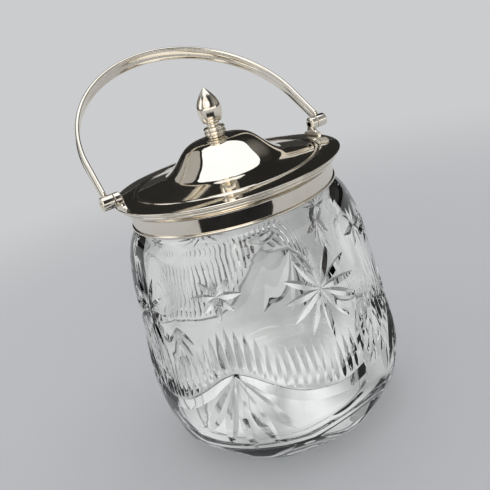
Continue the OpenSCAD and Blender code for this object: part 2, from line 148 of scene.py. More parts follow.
def lathe(profile, closed=True, n=192):
    """Points and faces of an outline (r, z) turned round Z. An open one ends where its points end."""
    verts, rings, faces = [], [], []
    for r, z in profile:
        if r < 1e-6:
            rings.append([len(verts)] * n)
            verts.append((0, 0, z))
        else:
            rings.append(list(range(len(verts), len(verts) + n)))
            verts += [(r * math.cos(2 * math.pi * k / n), r * math.sin(2 * math.pi * k / n), z)
                      for k in range(n)]
    for lo, hi in zip(rings, rings[1:] + rings[:1] if closed else rings[1:]):
        for k in range(n):
            m = (k + 1) % n
            face = []
            for v in (lo[k], lo[m], hi[m], hi[k]):
                if v not in face:
                    face.append(v)
            if len(face) > 2:
                faces.append(face)
    return verts, faces


def skin(rows, count, closed=True):
    """Faces between rows of count points, laid row after row. Each row is a closed ring or an open line."""
    return [(i * count + k, i * count + (k + 1) % count, (i + 1) * count + (k + 1) % count, (i + 1) * count + k)
            for i in range(rows - 1) for k in range(count if closed else count - 1)]


def tube(rows, count):
    """Faces of rings of count points, laid row after row, with both ends capped."""
    last = (rows - 1) * count
    return skin(rows, count) + [list(range(count))[::-1], list(range(last, last + count))]


def merged(*parts):
    """Several (points, faces) in one."""
    verts, faces = [], []
    for v, f in parts:
        base = len(verts)
        verts += [tuple(p) for p in v]
        faces += [[i + base for i in face] for face in f]
    return verts, faces


def along_x(part, x, z):
    """A part turned round Z, laid along +X from x at height z."""
    verts, faces = part
    return [(x + p[2], -p[1], z + p[0]) for p in verts], faces


def mirrored(part):
    """The part on the other side of the plane x = 0."""
    verts, faces = part
    return [(-p[0], p[1], p[2]) for p in verts], [list(reversed(f)) for f in faces]


# ---------------------------------------------------------------- materials

class Nodes:
    """A new material, with short calls for its node tree. Where a value is asked for, a socket will do."""

    def __init__(self, name):
        self.material = bpy.data.materials.new(name)
        self.material.use_nodes = True
        self.tree = self.material.node_tree
        self.shader = self.tree.nodes["Principled BSDF"]
        self.place = self.add("ShaderNodeTexCoord").outputs["Object"]

    def add(self, kind, **inputs):
        node = self.tree.nodes.new(kind)
        for key, value in inputs.items():
            node.inputs[key.replace("_", " ")].default_value = value
        return node

    def link(self, a, b):
        self.tree.links.new(a, b)

    def put(self, socket, value):
        if hasattr(value, "links"):
            self.link(value, socket)
        else:
            socket.default_value = value

    def set(self, **values):
        for key, value in values.items():
            self.put(self.shader.inputs[key.replace("_", " ")], value)

    def noise(self, scale, detail, rough=0.5, stretch=None):
        node = self.add("ShaderNodeTexNoise", Scale=scale, Detail=detail, Roughness=rough)
        vector = self.place
        if stretch:
            mapping = self.add("ShaderNodeMapping", Scale=stretch)
            self.link(vector, mapping.inputs["Vector"])
            vector = mapping.outputs["Vector"]
        self.link(vector, node.inputs["Vector"])
        return node.outputs["Fac"]

    def ramp(self, value, *stops):
        node = self.add("ShaderNodeValToRGB")
        elements = node.color_ramp.elements
        while len(elements) < len(stops):
            elements.new(0.5)
        for element, (place, colour) in zip(elements, stops):
            element.position = place
            element.color = (*colour, 1)
        self.link(value, node.inputs["Fac"])
        return node.outputs["Color"]

    def span(self, value, lo, hi, low=0.0, high=1.0, kind="LINEAR"):
        """Carries lo..hi over to low..high and stays in it."""
        node = self.add("ShaderNodeMapRange", From_Min=lo, From_Max=hi, To_Min=low, To_Max=high)
        node.interpolation_type = kind
        self.link(value, node.inputs["Value"])
        return node.outputs["Result"]

    def math(self, op, a, b=0):
        node = self.tree.nodes.new("ShaderNodeMath")
        node.operation = op
        self.put(node.inputs[0], a)
        self.put(node.inputs[1], b)
        return node.outputs["Value"]

    def vector(self, op, a, b=None, out="Vector"):
        node = self.tree.nodes.new("ShaderNodeVectorMath")
        node.operation = op
        self.link(a, node.inputs[0])
        if b is not None:
            node.inputs[1].default_value = b
        return node.outputs[out]

    def bump(self, height, strength, distance):
        node = self.add("ShaderNodeBump", Strength=strength, Distance=distance)
        self.link(height, node.inputs["Height"])
        return node.outputs["Normal"]

    def rays(self):
        return self.tree.nodes.new("ShaderNodeLightPath").outputs

    def surface(self, shader):
        self.link(shader, self.tree.nodes["Material Output"].inputs["Surface"])

    def blend(self, share, low, high):
        """Makes the surface one shader where the share is 0 and the other where it is 1."""
        mix = self.tree.nodes.new("ShaderNodeMixShader")
        for socket, value in zip((mix.inputs["Fac"], mix.inputs[1], mix.inputs[2]), (share, low, high)):
            self.link(value, socket)
        self.surface(mix.outputs["Shader"])

    def glow(self, colour, strength):
        """Makes the material plain light."""
        light = self.add("ShaderNodeEmission", Color=(*colour, 1))
        self.put(light.inputs["Strength"], strength)
        self.surface(light.outputs["Emission"])
        self.tree.nodes.remove(self.shader)
        return self.material


def silver_material(name, seed, low, high, dents=0.08):
    """Polished silver plate: warm, nearly a mirror, with faint tarnish, polishing lines and soft dents."""
    m = Nodes(name)
    cloud = m.noise(38 + seed, 4, 0.6)
    colour = m.ramp(cloud, (0.30, (0.80, 0.73, 0.62)), (0.48, (0.875, 0.82, 0.72)),
                    (0.75, (0.90, 0.855, 0.77)))
    polish = m.noise(160, 2, 0.5, stretch=(1.0, 1.0, 0.2))
    rough = m.math("ADD", m.span(cloud, 0.3, 0.7, high, low), m.span(polish, 0.45, 0.8, 0.0, 0.02))
    normal = m.bump(m.noise(55 + seed, 2, 0.4), dents, 0.0008)
    m.set(Base_Color=colour, Roughness=rough, Normal=normal, Metallic=1.0)
    return m.material


def glass_material(name, low, high, wave):
    """Clear flint glass with the soft waves of hand polishing and a little haze. Lamps reach through it."""
    m = Nodes(name)
    haze = m.noise(150, 3, 0.55)
    m.set(Base_Color=m.ramp(haze, (0.3, (0.965, 0.978, 0.968)), (0.7, (0.99, 0.994, 0.99))),
          Roughness=m.span(haze, 0.35, 0.75, low, high), Normal=m.bump(m.noise(42, 2, 0.45), wave, 0.0012),
          Transmission_Weight=1.0, IOR=1.52)
    through = m.add("ShaderNodeBsdfTransparent", Color=(0.96, 0.97, 0.965, 1))
    m.blend(m.rays()["Is Shadow Ray"], m.shader.outputs["BSDF"], through.outputs["BSDF"])
    return m.material


def plaster_material():
    m = Nodes("plaster_bed")
    grain = m.noise(420, 5, 0.65)
    m.set(Base_Color=m.ramp(grain, (0.3, (0.66, 0.62, 0.54)), (0.6, (0.82, 0.79, 0.72))),
          Roughness=m.span(grain, 0.3, 0.7, 0.75, 0.92), Normal=m.bump(grain, 0.5, 0.0004))
    return m.material


def nickel_material():
    m = Nodes("nickel_turned")
    line = m.noise(900, 3, 0.6, stretch=(0.2, 1.0, 1.0))
    m.set(Base_Color=m.ramp(line, (0.3, (0.52, 0.48, 0.40)), (0.7, (0.68, 0.64, 0.56))),
          Roughness=m.span(line, 0.3, 0.7, 0.20, 0.36), Normal=m.bump(line, 0.15, 0.0001), Metallic=1.0)
    return m.material


# ---------------------------------------------------------------- the glass before cutting

FACE_R, FACE_CURVE, BELLY_Z = 65.9, 450.0, 36.0     # a side's distance from the axis, curve and widest height
HEEL_R, HEEL_RISE = 50.9, 0.9                       # a heel facet's distance at the table, and its growth up
CORNER_BLEND, HEEL_BLEND = 3.0, 1.2
OUTSIDE = [(51.6, 0), (63.7, 12.2), (69.6, 36), (66, 76), (63.3, 103.5), (58.4, 121), (51.6, 129)]
PROFILE = spline(OUTSIDE, 16)
FOOT_H, FOOT_W = 1.2, 1.6                           # round edge under the heel
UNDERSIDE = [(0.0, 0.9), (14.0, 0.9), (26.0, 0.8), (33.0, 0.45), (37.0, 0.1), (39.0, 0.0)]
NECK_Z, NECK_STEP = 129.3, 0.1                      # the neck stands out this much above the shoulder
LIP_Z, LIP_H = 141.5, 2.0                           # top of the round lip, and how far it curves down
LIP_MID, LIP_HALF = 49.15, 2.55
WALL, FLOOR_Z, FLOOR_CURVE, NECK_BORE = 6.2, 13, 16, 46.6


def face_at(z):
    """Distance of a side from the axis at height z."""
    return FACE_R - FACE_CURVE + np.sqrt(FACE_CURVE ** 2 - (z - BELLY_Z) ** 2)


def smooth_min(a, b, k):
    """The lower of two, blended where they are within k of each other."""
    h = np.maximum(k - np.abs(a - b), 0) / k
    return np.minimum(a, b) - h * h * k / 4


def base_radius(az, z):
    """Radius of the uncut outside at azimuth az (radians) and height z."""
    az, z = np.asarray(az, float), np.asarray(z, float)
    quarter = (az + math.pi / 4) % (math.pi / 2) - math.pi / 4
    r = smooth_min(np.interp(z, PROFILE[:, 1], PROFILE[:, 0]), face_at(z) / np.cos(quarter), CORNER_BLEND)
    eighth = az % (math.pi / 4) - math.pi / 8
    return smooth_min(r, (HEEL_R + HEEL_RISE * z) / np.cos(eighth), HEEL_BLEND)


def inside_outline():
    """The hollow from the lip down to the axis: points (r, z) and normals (r, z)."""
    wide = FACE_R - WALL
    floor = [(r, FLOOR_Z) for r in (0, 12, 24, 34)]
    corner = arc(wide - FLOOR_CURVE, FLOOR_Z + FLOOR_CURVE, FLOOR_CURVE, FLOOR_CURVE, -90, 0, 14)
    shoulder = [(min(r, float(face_at(h))) - WALL, h) for r, h in OUTSIDE[3:6]]
    wall = spline([(wide, 37)] + shoulder + [(NECK_BORE, 129), (NECK_BORE, LIP_Z - LIP_H)], 10)
    shape = np.array(floor + corner + [tuple(p) for p in wall])[::-1]
    way = np.gradient(shape, axis=0)
    return shape, np.stack([way[:, 1], -way[:, 0]], -1) / np.hypot(way[:, 1], way[:, 0])[:, None]


# ---------------------------------------------------------------- the cutting

# It is laid out on an unrolled plane: s is the distance round a cylinder of radius ROUND, and z the height.
ROUND = 66.0
TILT_COT = 1 / math.tan(math.radians(58))   # depth of a mitre cut over its half width
CUT_LOW, CUT_TOP = 15.0, 117.0
COLS = 96                                   # columns of the plain glass in a quarter
AZ0 = math.radians(-118.125)                # where the quarter starts, between two fringe cuts
STEP = 1.5                                  # distance of the points between the cuts

FACE_Z, STAR_WIDTH = 91.0, 2.05
STAR_RAYS = (22, 22.5, 22, 20, 22, 22, 21, 21, 22.5, 26, 24.5, 25)
CORNER_Z, SMALL_WIDTH = 102.8, 1.9
SMALL_RAYS = (13, 11, 9.5, 11, 13, 11.5, 12.5, 11.5)
FAN_Z, FAN_WIDTH = 62.6, 3.3
FAN_RAYS = ((-33.5, 38.5), (-17, 42.5), (-0.5, 44.3), (16, 43), (32.5, 39.5))     # degrees off down, length
FRINGE_STEP, FRINGE_WIDTH, FRINGE_GAP = 3.75, 2.0, 2.0

# Heights over the degrees from the nearest corner
SWAG = spline([(0, 63.1), (5.8, 60.6), (11, 57.0), (16.2, 53.2), (23.6, 48.3), (31.7, 44.2), (41.2, 41.1),
               (45, 40.7)], 8)
FRINGE_TOP = spline([(0, 88), (6.4, 84.5), (12, 80), (16.7, 75.5), (28.6, 70.2), (39.8, 66), (45, 64.8)], 8)


def from_corner(az):
    """Degrees from the nearest corner of the jar."""
    return np.abs((np.degrees(az)) % 90 - 45)


def swag_z(az):
    return np.interp(from_corner(az), SWAG[:, 0], SWAG[:, 1])


class Leaf:
    """A mitre cut, pointed at both ends and widest at the share `wide` of its length."""

    def __init__(self, s, z, angle, length, width, wide):
        self.s, self.z, self.angle, self.length, self.width = s, z, angle, length, width
        self.power = math.log(0.5) / math.log(wide)
        self.dx, self.dz = math.cos(angle), math.sin(angle)

    def half(self, u):
        """Half the cut's width at the distance u along it."""
        t = np.clip(u / self.length, 0, 1) ** self.power
        return self.width * 4 * t * (1 - t)

    def at(self, u, v):
        return self.s + u * self.dx - v * self.dz, self.z + u * self.dz + v * self.dx

    def uv(self, s, z):
        a, b = s - self.s, z - self.z
        return a * self.dx + b * self.dz, -a * self.dz + b * self.dx

    def depth(self, s, z, side=None):
        """Depth of the cut, or of one side's slope carried on past its edges, for the normals."""
        u, v = self.uv(s, z)
        if side is None:
            d = (self.half(u) - np.abs(v)) * TILT_COT
            return np.where((u < -1e-6) | (u > self.length), -1.0, d)
        return (self.half(np.clip(u, 0.04 * self.length, 0.97 * self.length)) - side * v) * TILT_COT

    def side(self, s, z):
        return np.where(self.uv(s, z)[1] >= 0, 1.0, -1.0)

    def lines(self):
        """Both edges and the keel."""
        u = np.linspace(0, self.length, max(9, int(self.length / 1.3)))
        return [[self.at(a, k * b) for a, b in zip(u, self.half(u))] for k in (1, 0, -1)]

    def ridge(self, next_angle):
        """The crest between this cut and the next one that starts at the same point."""
        gap = (next_angle - self.angle) / 2
        u = np.linspace(0, self.length, 60)
        meet = self.half(u * math.cos(gap)) > u * math.sin(gap)
        end = u[meet].max() if meet.any() else 0
        way = self.angle + gap
        return [(self.s + a * math.cos(way), self.z + a * math.sin(way)) for a in np.linspace(0, end, 12)]


class Ribbon:
    """The swag: a groove steep above its line and gentle below."""

    deep, above = 1.15, 1.2     # depth at the line, and how far up the groove reaches

    def below(self, az):
        """How far down it reaches, which is least at a corner."""
        return 0.4 + 4.7 * np.clip(from_corner(az) / 11, 0, 1) ** 0.8

    def depth(self, s, z, side=None):
        az = s / ROUND
        v = z - swag_z(az)
        up, down = self.deep * (1 - v / self.above), self.deep * (1 + v / self.below(az))
        return np.where(v >= 0 if side is None else side > 0, up, down)

    def side(self, s, z):
        return np.where(z >= swag_z(s / ROUND), 1.0, -1.0)


def quarter_cuts(s0, s1):
    """The mitre cuts that touch the quarter between s0 and s1, and the crests between them."""
    cuts, crests = [], []

    def spread(s, z, rays, closed):
        """Rays (degrees, length, width, wide) from one point, all the way round if closed."""
        leaves = [Leaf(s, z, math.radians(angle), *shape) for angle, *shape in rays]
        cuts.extend(leaves)
        angles = [leaf.angle for leaf in leaves[1:]]
        if closed:
            angles.append(leaves[0].angle + 2 * math.pi)
        crests.extend(leaf.ridge(angle) for leaf, angle in zip(leaves, angles))

    for k in (-1, 0, 1):
        face, corner = math.radians(-90 + 90 * k) * ROUND, math.radians(-45 + 90 * k) * ROUND
        jit = np.random.default_rng(11)     # the same small differences on each side of the jar
        spread(face, FACE_Z, [(30 * i + jit.uniform(-1, 1), length * jit.uniform(0.97, 1.03), STAR_WIDTH, 0.5)
                              for i, length in enumerate(STAR_RAYS)], True)
        spread(corner, CORNER_Z, [(45 * i + jit.uniform(-1.2, 1.2), length * jit.uniform(0.96, 1.04),
                                   SMALL_WIDTH, 0.45) for i, length in enumerate(SMALL_RAYS)], True)
        spread(corner, FAN_Z, [(a - 90, length, FAN_WIDTH, 0.6) for a, length in FAN_RAYS], False)
    for i in range(-30, 60):
        az = math.radians(-90 + FRINGE_STEP * i)
        low = float(swag_z(az)) + FRINGE_GAP
        top = float(np.interp(from_corner(az), FRINGE_TOP[:, 0], FRINGE_TOP[:, 1]))
        cuts.append(Leaf(az * ROUND, low, math.pi / 2, top - low, FRINGE_WIDTH, 0.33))

    def inside(line):
        x = [p[0] for p in line]
        return max(x) > s0 + 1e-6 and min(x) < s1 - 1e-6

    return [c for c in cuts if any(inside(line) for line in c.lines())], [c for c in crests if inside(c)]


def clip_line(line, s0, s1):
    """The stretches of a polyline between s0 and s1, cut exactly at both."""
    out, run = [], []
    for (xa, ya), (xb, yb) in zip(line, line[1:]):
        ta, tb = 0.0, 1.0
        dx = xb - xa
        if abs(dx) < 1e-12:
            if not s0 <= xa <= s1:
                continue
        else:
            t0, t1 = sorted(((s0 - xa) / dx, (s1 - xa) / dx))
            ta, tb = max(ta, t0), min(tb, t1)
        if tb - ta < 1e-9:
            continue
        a = (xa + dx * ta, ya + (yb - ya) * ta)
        b = (xa + dx * tb, ya + (yb - ya) * tb)
        if run and math.dist(run[-1], a) < 1e-6:
            run.append(b)
        else:
            if run:
                out.append(run)
            run = [a, b]
    if run:
        out.append(run)
    return out


def cut_zone():
    """Triangles of one quarter of the cut zone: points (s, z), triangles and the cuts."""
    s0, s1 = AZ0 * ROUND, (AZ0 + math.pi / 2) * ROUND
    cuts, crests = quarter_cuts(s0, s1)
    ribbon = Ribbon()
    lines = [part for line in crests + [one for c in cuts for one in c.lines()]
             for part in clip_line(line, s0, s1)]
    grid = np.linspace(s0, s1, 81)
    az = grid / ROUND
    for z in (swag_z(az) + ribbon.above, swag_z(az), swag_z(az) - ribbon.below(az)):
        lines.append(list(zip(grid, z)))

    # Heights on the two upright borders, the same on both: where lines meet them, and even ones between
    crossing = sorted({round(p[1], 4) for line in lines for p in (line[0], line[-1])
                       if min(abs(p[0] - s0), abs(p[0] - s1)) < 1e-6})
    keep = [c for i, c in enumerate(crossing) if i == 0 or c - crossing[i - 1] > 0.02]
    even = {round(z, 6) for z in np.linspace(CUT_LOW, CUT_TOP, 65)}
    side = sorted(keep + [z for z in even if all(abs(z - c) > 0.5 for c in keep)])
    pts, edges, seen = [], [], {}

    def point(p):
        for x in (s0, s1):
            if abs(p[0] - x) < 1e-5:
                p = (x, min(side, key=lambda z: abs(z - p[1])))
        key = (round(p[0], 4), round(p[1], 4))
        if key not in seen:
            seen[key] = len(pts)
            pts.append(p)
        return seen[key]

    border = [[(s, z) for z in side] for s in (s0, s1)]
    border += [[(s, z) for s in np.linspace(s0, s1, COLS + 1)] for z in (CUT_LOW, CUT_TOP)]
    for line in border + lines:
        ids = [point(p) for p in line]
        edges += [(a, b) for a, b in zip(ids, ids[1:]) if a != b]

    # An even grid of points, left out where one is near
    tree = kdtree.KDTree(len(pts))
    for i, p in enumerate(pts):
        tree.insert((p[0], p[1], 0), i)
    tree.balance()
    rows = int((CUT_TOP - CUT_LOW) / (STEP * 0.866))
    for j in range(1, rows):
        z = CUT_LOW + (CUT_TOP - CUT_LOW) * j / rows
        for s in np.arange(s0 + STEP * (0.5 if j % 2 else 1.0), s1 - STEP * 0.4, STEP):
            if tree.find((s, z, 0))[2] > STEP / 2:
                pts.append((s, z))
    out = delaunay_2d_cdt([Vector(p) for p in pts], edges, [], 0, 1e-5)
    return np.array([(v.x, v.y) for v in out[0]]), np.array([tuple(f) for f in out[2]]), cuts + [ribbon]


def to_xyz(az, z, r):
    return np.stack([r * np.cos(az), r * np.sin(az), z], -1)


def uncut(s, z):
    return base_radius(s / ROUND, z)


def surface_normal(radius, s, z, e=0.01):
    """Outward normal of the surface r = radius(s, z)."""
    at = lambda a, b: to_xyz(a / ROUND, b, radius(a, b))
    n = np.cross(at(s + e, z) - at(s - e, z), at(s, z + e) - at(s, z - e))
    return n / np.linalg.norm(n, axis=-1, keepdims=True)


def cut_quarter():
    """One quarter of the cut zone: s, z and radius of its points, its triangles with a normal for each corner,
    and whether each is in a mitre cut."""
    flat, tris, cuts = cut_zone()
    s, z = flat[:, 0], flat[:, 1]
    radius = uncut(s, z) - np.array([np.maximum(c.depth(s, z), 0) for c in cuts]).max(0)
    mid = flat[tris].mean(1)
    at_mid = np.array([c.depth(mid[:, 0], mid[:, 1]) for c in cuts])
    owner = np.where(at_mid.max(0) > 1e-4, at_mid.argmax(0), -1)
    # Orient all triangles counter-clockwise in (s, z), which faces outward.
    a, b, c = (flat[tris[:, i]] for i in range(3))
    area = (b[:, 0] - a[:, 0]) * (c[:, 1] - a[:, 1]) - (c[:, 0] - a[:, 0]) * (b[:, 1] - a[:, 1])
    tris[area < 0] = tris[area < 0][:, ::-1]
    normals = np.zeros((len(tris), 3, 3))
    for k in np.unique(owner):
        pick = owner == k
        if k < 0:
            radius_of = uncut
        else:
            cut, side = cuts[k], cuts[k].side(mid[pick, 0], mid[pick, 1])[:, None]
            radius_of = lambda p, q, cut=cut, side=side: uncut(p, q) - cut.depth(p, q, side)
        normals[pick] = surface_normal(radius_of, s[tris[pick]], z[tris[pick]])
    return s, z, radius, tris, normals, (owner >= 0) & (owner < len(cuts) - 1)


class Shell:
    """A mesh of faces that bring a normal for each corner, with its points shared where they meet."""

    def __init__(self):
        self.verts, self.faces, self.normals, self.index = [], [], [], {}

    def vertex(self, p):
        key = (round(p[0], 4), round(p[1], 4), round(p[2], 4))
        if key not in self.index:
            self.index[key] = len(self.verts)
            self.verts.append(tuple(p))
        return self.index[key]

    def face(self, ids, normals):
        """Adds a face, unless it has shrunk to a line, and says whether it did."""
        ring, kept = [], []
        for v, n in zip(ids, normals):
            if v not in ring:
                ring.append(v)
                kept.append(n)
        if len(ring) > 2:
            self.faces.append(ring)
            self.normals += kept
        return len(ring) > 2

    def rings(self, rows, normal_rows):
        """Faces between closed rows of points."""
        ids = [[self.vertex(p) for p in row] for row in rows]
        for lo, hi, nl, nh in zip(ids, ids[1:], normal_rows, normal_rows[1:]):
            for k in range(len(lo)):
                m = (k + 1) % len(lo)
                self.face((lo[k], lo[m], hi[m], hi[k]), (nl[k], nl[m], nh[m], nh[k]))

    def finish(self, name):
        mesh = bpy.data.meshes.new(name)
        mesh.from_pydata([tuple(v) for v in np.array(self.verts) * MM], [], self.faces)
        mesh.shade_smooth()
        mesh.normals_split_custom_set([tuple(n) for n in self.normals])
        return link_object(name, mesh)


def glass_piece():
    """The whole glass body. Its mitre cuts have material 1, for the softer shine that the wheel leaves."""
    shell, satin = Shell(), []
    s, z, radius, tris, normals, in_cut = cut_quarter()
    for q in range(4):
        turn = q * math.pi / 2
        ids = [shell.vertex(p) for p in to_xyz(s / ROUND + turn, z, radius)]
        rot = np.array([[math.cos(turn), -math.sin(turn), 0], [math.sin(turn), math.cos(turn), 0], [0, 0, 1]])
        for tri, corners, cut in zip(tris, normals @ rot.T, in_cut):
            if shell.face([ids[i] for i in tri], corners) and cut:
                satin.append(len(shell.faces) - 1)

    azs = AZ0 + np.linspace(0, 2 * math.pi, 4 * COLS + 1)[:-1]
    lead, up = np.stack([np.cos(azs), np.sin(azs), 0 * azs], -1), np.array([0, 0, 1.0])

    def ring(r, h):
        return to_xyz(azs, np.full_like(azs, h), np.full_like(azs, r))

    def outside(heights):
        """Rows of the uncut outside, and their normals."""
        return ([ring(base_radius(azs, h), h) for h in heights],
                [surface_normal(uncut, azs * ROUND, np.full_like(azs, h)) for h in heights])

    # Underside, round edge and heel
    under = [ring(r, h) for r, h in UNDERSIDE]
    under_n = [np.tile(-up, (len(azs), 1))] * len(under)
    foot = base_radius(azs, FOOT_H)
    for t in np.radians([90, 67.5, 45, 22.5]):
        under.append(ring(foot - FOOT_W + FOOT_W * math.cos(t), FOOT_H - FOOT_H * math.sin(t)))
        n = lead * math.cos(t) - up * math.sin(t)
        under_n.append(n / np.linalg.norm(n, axis=1, keepdims=True))
    rows, row_n = outside(np.linspace(FOOT_H, CUT_LOW, 16))
    shell.rings(under + rows, under_n + row_n)

    # Shoulder and neck, up over the round lip, then down the inside
    heights = np.concatenate([np.linspace(CUT_TOP, 129, 18), np.linspace(129.6, LIP_Z - LIP_H, 8)])
    rows, row_n = outside(heights)
    rows = [row + lead * (NECK_STEP if h > NECK_Z else 0.0) for row, h in zip(rows, heights)]
    for t in np.radians(np.linspace(0, 180, 9)):
        rows.append(ring(LIP_MID + LIP_HALF * math.cos(t), LIP_Z - LIP_H + LIP_H * math.sin(t)))
        row_n.append(lead * math.cos(t) + up * math.sin(t))
    shell.rings(rows, row_n)
    points, point_n = inside_outline()
    shell.rings([ring(r, h) for r, h in points], [lead * a + up * b for a, b in point_n])

    obj = shell.finish("glass_cut_body")
    for i in satin:
        obj.data.polygons[i].material_index = 1
    return obj


# ---------------------------------------------------------------- collar

BAND_R, BAND_LOW, BAND_TOP = 53.9, 129.2, 142.7
RIM_LOW, RIM_EDGE_Z = 143.5, 144.2      # under the rim, and its top at the outer edge, which it slopes down to
SEAT_Z = 143.9                          # where the lid rests
MOULD_BEAD = 0.85                       # radius of the two beads of the moulding


def collar_pieces():
    """Outlines (r, z) of the collar's turned pieces."""
    rim = rounded([(47.2, BAND_TOP, 0.2), (BAND_R, BAND_TOP, 0), (BAND_R, RIM_LOW, 0), (RIM_R, RIM_LOW, 0.4),
                   (RIM_R, RIM_EDGE_Z, 0.4), (49.9, RIM_Z, 0.25), (49.5, 144.8, 0.2), (49.5, SEAT_Z, 0.1),
                   (47.2, SEAT_Z, 0.25)], 6)
    moulding = [(BAND_R, RIM_LOW), (58.2, RIM_LOW)]
    for r, z in ((57.75, 142.62), (56.55, 140.87)):
        moulding += arc(r, z, MOULD_BEAD, MOULD_BEAD, 80, -80, 12)
    moulding += [(54.15 + 2.0 * (1 - math.sin(a)) ** 1.25, 139.95 - 2.45 * math.sin(a))
                 for a in np.linspace(0, 1.5, 14)]
    moulding += [(54.15, 137.45), (BAND_R, 137.4)]
    band = rounded([(52.9, BAND_LOW, 0.1), (BAND_R, BAND_LOW, 0.2), (BAND_R, BAND_TOP, 0),
                    (52.9, BAND_TOP, 0)], 4)
    bead = [(53.5, 129.2)] + arc(53.88, 130.0, 0.82, 0.8, -90, 90, 14) + [(53.5, 130.8)]
    return {"collar_rim": rim, "collar_moulding": moulding, "collar_band": band, "collar_bead": bead}


# ---------------------------------------------------------------- lid and finial

CROWN_R, CROWN_Z = 4.3, 162.0           # flat top of the dome, under the finial
DOME_R, DOME_Z = 43.45, 145.2           # foot of the dome's curve
FLANGE_R, FLANGE_Z, FLANGE_SLOPE = 46.9, 144.95, 0.175
SHEET = 1.1
WAIST_R, BUD_Z = 4.2, 169.9             # foot of the bud, on the finial's waist
BUD_R, BUD_MID_Z, TIP_Z = 6.2, 176.3, 187.6


def flange_z(r):
    """Top of the sloped flange, and of the same slope carried on inward."""
    return FLANGE_Z + FLANGE_SLOPE * (FLANGE_R - r)


def swell(r):
    return 1 / (1 + (r / 24.3) ** 5.8)


def dome_profile():
    """Outline (r, z) of the dome and its flange: the top outward from the axis, then the underside back."""
    top = [(r, CROWN_Z) for r in np.linspace(0, CROWN_R, 5)]
    for r in np.linspace(CROWN_R, DOME_R, 90)[1:]:
        share = (swell(r) - swell(DOME_R)) / (swell(CROWN_R) - swell(DOME_R))
        top.append((r, DOME_Z + (CROWN_Z - DOME_Z) * share))
    top = [(r, -float(smooth_min(-z, -flange_z(r), 0.4))) for r, z in top]
    top += [(r, flange_z(r)) for r in (44.5, 45.7, FLANGE_R)]
    return top + [(r, z - SHEET) for r, z in reversed(top[4:])] + [(0, CROWN_Z - SHEET)]


def finial_knop():
    """Outline of the finial's foot, double ring and waist."""
    pts = [(0, CROWN_Z), (3.6, CROWN_Z)]
    for r, z, h in ((4.3, CROWN_Z, 1.5), (5.7, 163.5, 2.0), (5.7, 165.5, 2.0)):
        pts += arc(r - h / 2, z + h / 2, h / 2, h / 2, -90, 90, 10)
    return pts + arc(WAIST_R, 168.7, -1.0, 1.2, -90, 90, 14) + [(0, BUD_Z)]


def finial_bud():
    """Outline of the bud, widest at the middle and pointed at the tip."""
    side = arc(WAIST_R, BUD_MID_Z, BUD_R - WAIST_R, BUD_MID_Z - BUD_Z, -90, 0, 16)
    tip = [(BUD_R * math.cos(math.pi / 2 * t), BUD_MID_Z + (TIP_Z - BUD_MID_Z) * t)
           for t in np.linspace(0, 1, 32)[1:-1]]
    return [(0, BUD_Z)] + side + tip + [(0, TIP_Z)]


# ---------------------------------------------------------------- bail

LEG_X = 64.95                   # the strip's middle line at the pins
ARCH_R, ARCH_H = 63.55, 20.55   # the arch, and how far its centre is above the pins
LEG_W, TOP_W = 6.2, 8.6         # width of the strip at the pins and at the top
END_H, TOP_H = 4.9, 84.1        # heights above the pins at which it starts to taper, and at the top


def strip_section(width):
    """Outline across the strip: a along its width, b along its thickness, round beads at both edges."""
    w, r = width / 2, min(1.1, width / 2.6)
    half = [(w - 2.0 * r, 0.62), (w - 2.35 * r, 0.66)]
    half += [(x * (w - 2.6 * r), 0.86 - 0.12 * x * x) for x in (0.9, 0.45, 0)]
    upper = half + [(-a, b) for a, b in reversed(half[:-1])]
    return arc(w - r, 0, r, r, -100, 100, 15) + upper + arc(r - w, 0, r, r, 80, 280, 15) \
        + [(-a, -b) for a, b in upper]


def bail_piece():
    """The strip from the right pin over the arch to the left pin, leaning back."""
    turn = math.acos(ARCH_R / math.hypot(LEG_X, ARCH_H)) - math.atan2(ARCH_H, LEG_X)
    end_x, end_h = ARCH_R * math.cos(turn), ARCH_H + ARCH_R * math.sin(turn)
    leg = [(LEG_X + (end_x - LEG_X) * h / end_h, h, math.cos(turn), math.sin(turn))
           for h in (*np.linspace(2.9, END_H, 6), *np.linspace(5.6, end_h, 12)[:-1])]
    arch = [(ARCH_R * math.cos(a), ARCH_H + ARCH_R * math.sin(a), math.cos(a), math.sin(a))
            for a in np.linspace(turn, math.pi - turn, 121)]
    path = leg + arch + [(-x, h, -nx, nh) for x, h, nx, nh in reversed(leg)]
    sin, cos = math.sin(LEAN), math.cos(LEAN)
    verts = []
    for x, h, nx, nh in path:
        width = LEG_W + (TOP_W - LEG_W) * (h - END_H) / (TOP_H - END_H)
        if h < END_H:
            width = 2 * math.sqrt(max((LEG_W / 2) ** 2 - (END_H - h) ** 2, 0.2))
        section = strip_section(width)
        for a, b in section:
            out = h + nh * b
            verts.append((x + nx * b, out * sin - a * cos, PIVOT_Z + out * cos + a * sin))
    return verts, tube(len(path), len(section))


# ---------------------------------------------------------------- hinges

BARREL_R, KNUCKLE_BORE = 3.5, 1.55
POST_Y, FLARE = 2.4, 4.0        # half width of a lug's post, and how far its foot flares out


def barrel(x0, x1, first, last, bore=0.0):
    """A barrel along X: bored, with round ends of the two radii, or else solid, with a domed first end."""
    length = x1 - x0
    if bore:
        line = rounded([(bore, 0, 0.1), (BARREL_R, 0, first), (BARREL_R, length, last),
                        (bore, length, 0.15)], 6)
        return along_x(lathe(line, True, 96), x0, PIVOT_Z)
    # The last two corners only give the round edge its direction, and come out again.
    rest = rounded([(BARREL_R, length, last), (0, length, 0), (0, first, 0), (BARREL_R, first, 0)], 6)[:-2]
    return along_x(lathe(arc(0, first, BARREL_R, first, -90, 0, 14) + rest, False, 96), x0, PIVOT_Z)


